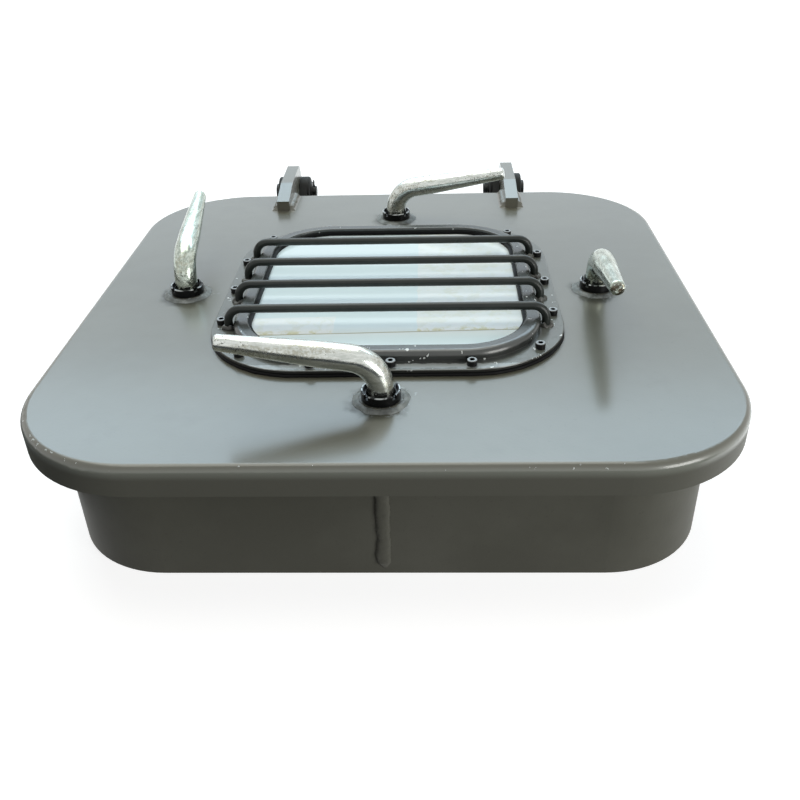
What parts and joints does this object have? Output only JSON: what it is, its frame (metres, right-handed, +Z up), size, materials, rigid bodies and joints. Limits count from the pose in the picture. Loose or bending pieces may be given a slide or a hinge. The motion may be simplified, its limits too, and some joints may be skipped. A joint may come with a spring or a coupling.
{
  "type": "deck hatch",
  "caption": "Weathertight deck hatch: rounded-square steel coaming, hinged lid with a barred glass window, and hand dogs that turn under catches.",
  "frame": {"origin": "centre of the clear opening, on the plane of the coaming's foot", "axes": "+X to the right and +Y towards the hinges, both along the coaming's sides, +Z up from the deck"},
  "size_m": [0.675, 0.7696, 0.218],
  "materials": {
    "coaming": "dark grey marine paint over welded steel plate",
    "lid": "light grey semi-gloss marine paint, worn at the edges",
    "guard": "dark grey paint over round bar",
    "rubber": "black solid rubber",
    "packing": "greased plaited packing",
    "glazing": "thick toughened glass, polished",
    "screws": "blackened socket-head cap screws",
    "gland": "dark turned steel with a worn bright rim",
    "handle": "hot-dip galvanised round bar with light stains",
    "fittings": "galvanised steel",
    "bush": "bronze bush"
  },
  "bodies": {
    "root": {"coaming": "coaming", "catch_near": "coaming", "catch_right": "coaming", "catch_far": "coaming", "catch_left": "coaming", "hinge_bracket_left": "coaming", "hinge_bracket_right": "coaming", "hinge_pin_left": "fittings", "hinge_pin_right": "fittings", "hinge_washers": "fittings", "hinge_split_pins": "fittings"},
    "lid": {"lid_plate": "lid", "seal_retainer_outer": "lid", "seal_retainer_inner": "lid", "lid_seal": "rubber", "window_seat": "lid", "glass_bed": "rubber", "window_glass": "glazing", "glass_seal": "rubber", "window_gasket": "rubber", "window_frame": "lid", "window_screws": "screws", "guard_bar_1": "guard", "guard_bar_2": "guard", "guard_bar_3": "guard", "guard_bar_4": "guard", "hinge_arm_left": "lid", "hinge_arm_right": "lid", "hinge_bush_left": "bush", "hinge_bush_right": "bush", "gland_boss_near": "lid", "gland_boss_right": "lid", "gland_boss_far": "lid", "gland_boss_left": "lid", "gland_nut_near": "gland", "gland_nut_right": "gland", "gland_nut_far": "gland", "gland_nut_left": "gland", "gland_packings": "packing"},
    "dog_near": {"handle_near": "handle", "dog_finger_near": "fittings", "dog_washer_near": "fittings", "dog_nut_near": "fittings", "dog_split_pin_near": "fittings"},
    "dog_right": {"handle_right": "handle", "dog_finger_right": "fittings", "dog_washer_right": "fittings", "dog_nut_right": "fittings", "dog_split_pin_right": "fittings"},
    "dog_far": {"handle_far": "handle", "dog_finger_far": "fittings", "dog_washer_far": "fittings", "dog_nut_far": "fittings", "dog_split_pin_far": "fittings"},
    "dog_left": {"handle_left": "handle", "dog_finger_left": "fittings", "dog_washer_left": "fittings", "dog_nut_left": "fittings", "dog_split_pin_left": "fittings"}
  },
  "joints": [
    {"name": "lid_hinge", "type": "hinge", "parent": "root", "child": "lid", "pos_m": [0, 0.395, 0.1295], "axis": [-1, 0, 0], "range_deg": [0, 105]},
    {"name": "dog_near_turn", "type": "hinge", "parent": "lid", "child": "dog_near", "pos_m": [0, -0.233, 0.13], "axis": [0, 0, -1], "range_deg": [0, 94.3]},
    {"name": "dog_right_turn", "type": "hinge", "parent": "lid", "child": "dog_right", "pos_m": [0.233, 0, 0.13], "axis": [0, 0, -1], "range_deg": [0, 86.6]},
    {"name": "dog_far_turn", "type": "hinge", "parent": "lid", "child": "dog_far", "pos_m": [0, 0.233, 0.13], "axis": [0, 0, -1], "range_deg": [0, 81.3]},
    {"name": "dog_left_turn", "type": "hinge", "parent": "lid", "child": "dog_left", "pos_m": [-0.233, 0, 0.13], "axis": [0, 0, -1], "range_deg": [0, 93.3]}
  ]
}
